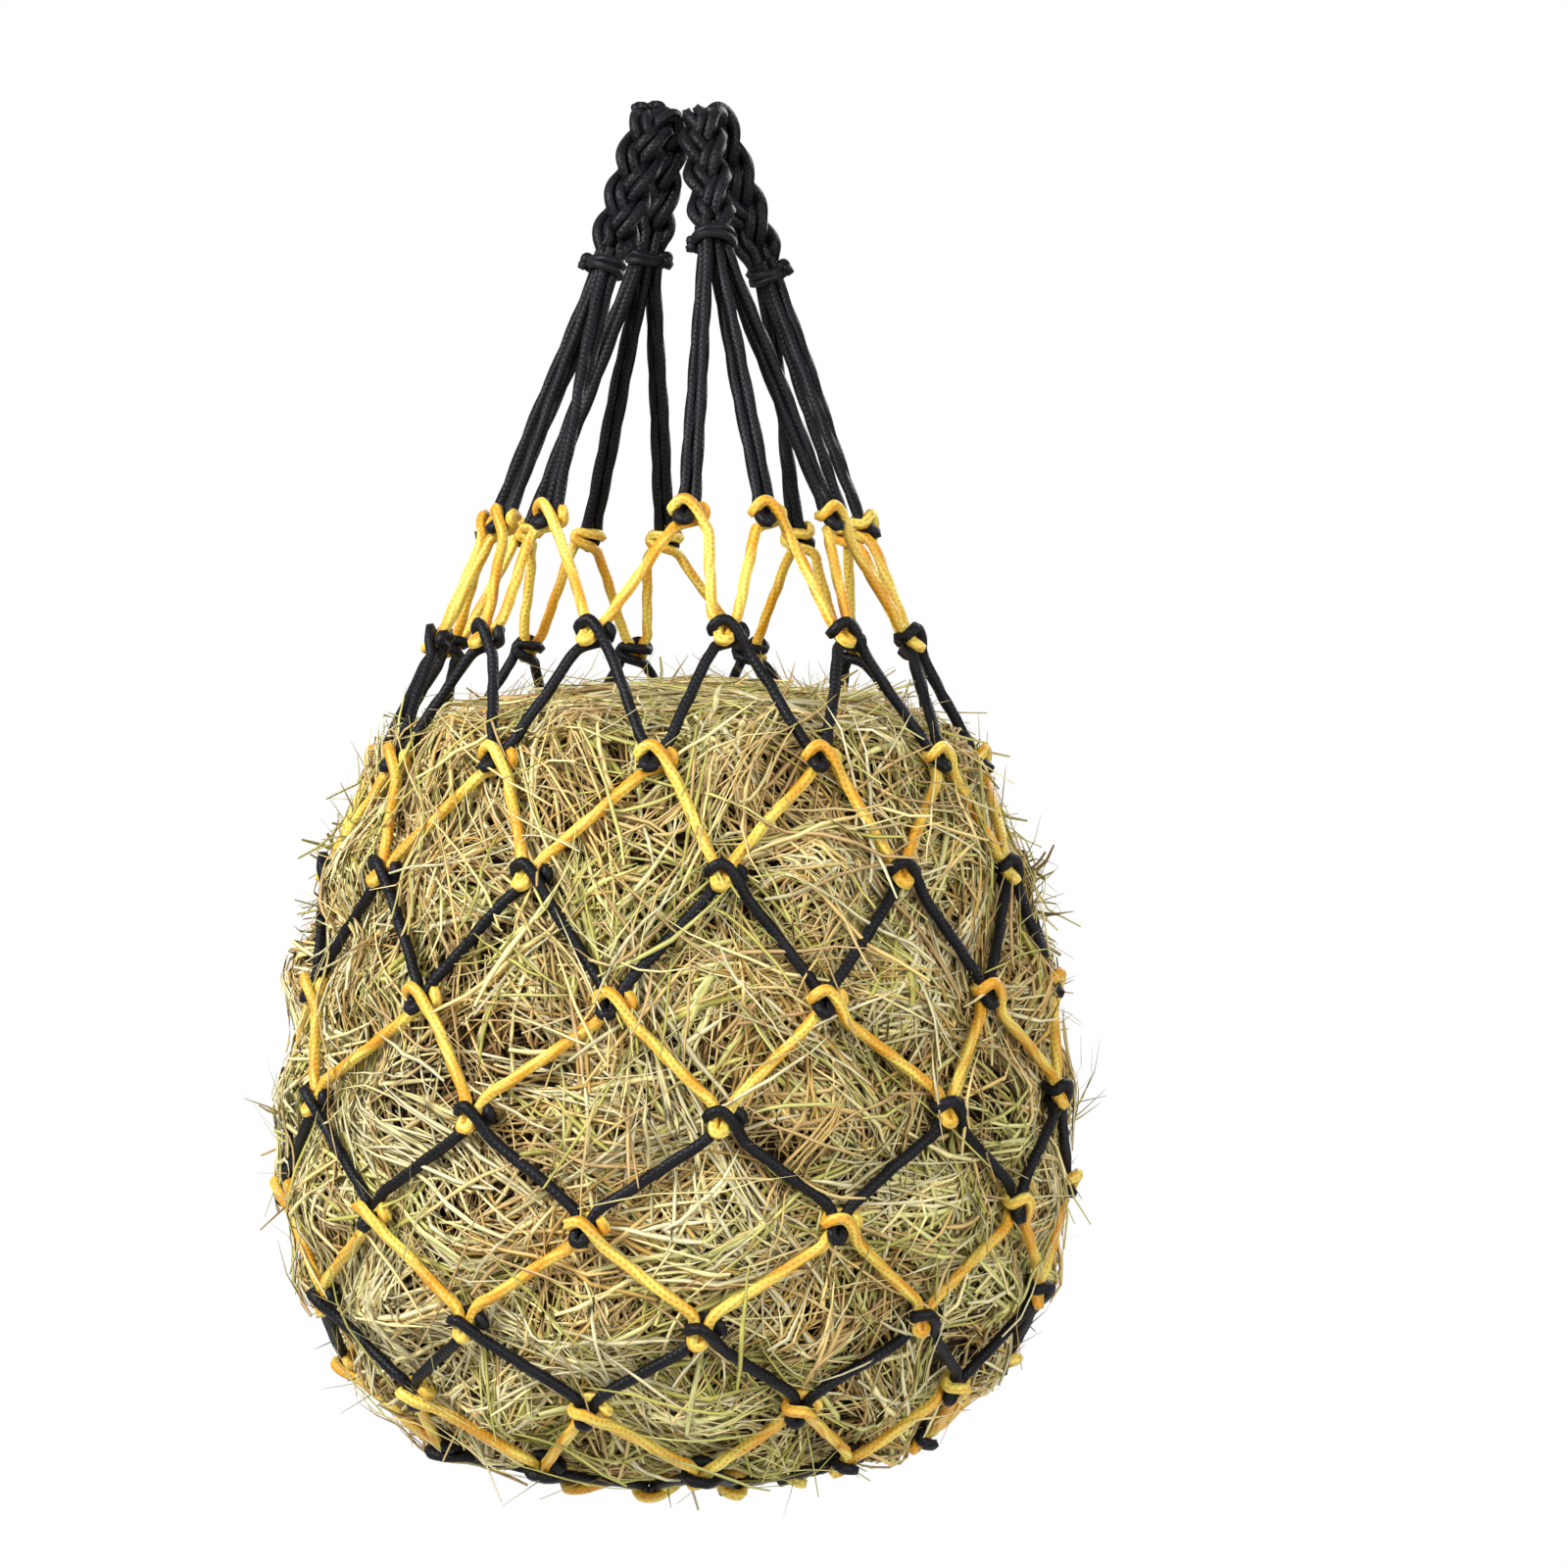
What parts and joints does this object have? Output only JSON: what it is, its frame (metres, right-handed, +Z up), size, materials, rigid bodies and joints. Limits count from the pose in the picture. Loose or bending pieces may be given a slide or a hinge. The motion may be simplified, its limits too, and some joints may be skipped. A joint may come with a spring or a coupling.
{
  "type": "hay net",
  "caption": "Filled hay net that hangs from two plaited cord handles: hand-knotted diamond mesh in black and yellow cord round a ball of loose hay",
  "frame": {"origin": "the seat of the hook, just under the inside of the top of both handle loops", "axes": "+Z up, +X from the left handle to the right one, -Y toward the front; Y runs along the slit of the mouth"},
  "size_m": [0.4836, 0.4815, 0.8338],
  "materials": {
    "black_cord": "braided polypropylene cord, black, soft satin sheen",
    "yellow_cord": "braided polypropylene cord, yellow, soft satin sheen",
    "hay": "loose dry meadow hay, straw to green, matt"
  },
  "bodies": {
    "bag": {"hay_fill": "hay", "closing_cord": "black_cord", "row_01_knots": "yellow_cord", "row_02_knots": "black_cord", "row_03_knots": "yellow_cord", "row_04_knots": "black_cord", "row_05_knots": "yellow_cord", "row_06_knots": "black_cord", "row_07_knots": "yellow_cord", "row_08_knots": "black_cord", "row_09_knots": "yellow_cord", "row_10_knots": "black_cord", "row_11_knots": "yellow_cord", "tier_01_cord": "yellow_cord", "tier_02_cord": "black_cord", "tier_03_cord": "yellow_cord", "tier_04_cord": "black_cord", "tier_05_cord": "yellow_cord", "tier_06_cord": "black_cord", "tier_07_cord": "yellow_cord", "tier_08_cord": "black_cord", "tier_09_cord": "yellow_cord", "tier_10_cord": "black_cord", "tier_11_cord": "yellow_cord"},
    "left_handle": {"left_plait_strand_1": "black_cord", "left_plait_strand_2": "black_cord", "left_plait_strand_3": "black_cord", "left_front_binding": "black_cord", "left_rear_binding": "black_cord", "left_front_drop_cords": "black_cord", "left_rear_drop_cords": "black_cord"},
    "right_handle": {"right_plait_strand_1": "black_cord", "right_plait_strand_2": "black_cord", "right_plait_strand_3": "black_cord", "right_front_binding": "black_cord", "right_rear_binding": "black_cord", "right_front_drop_cords": "black_cord", "right_rear_drop_cords": "black_cord"}
  },
  "joints": [
    {"name": "left_handle_fold", "type": "hinge", "parent": "bag", "child": "left_handle", "pos_m": [-0.09, 0, -0.235], "axis": [0, -1, 0], "range_deg": [0, 110], "deforming": ["left_front_drop_cords", "left_rear_drop_cords"]},
    {"name": "right_handle_fold", "type": "hinge", "parent": "bag", "child": "right_handle", "pos_m": [0.09, 0, -0.235], "axis": [0, 1, 0], "range_deg": [0, 110], "deforming": ["right_front_drop_cords", "right_rear_drop_cords"]}
  ]
}
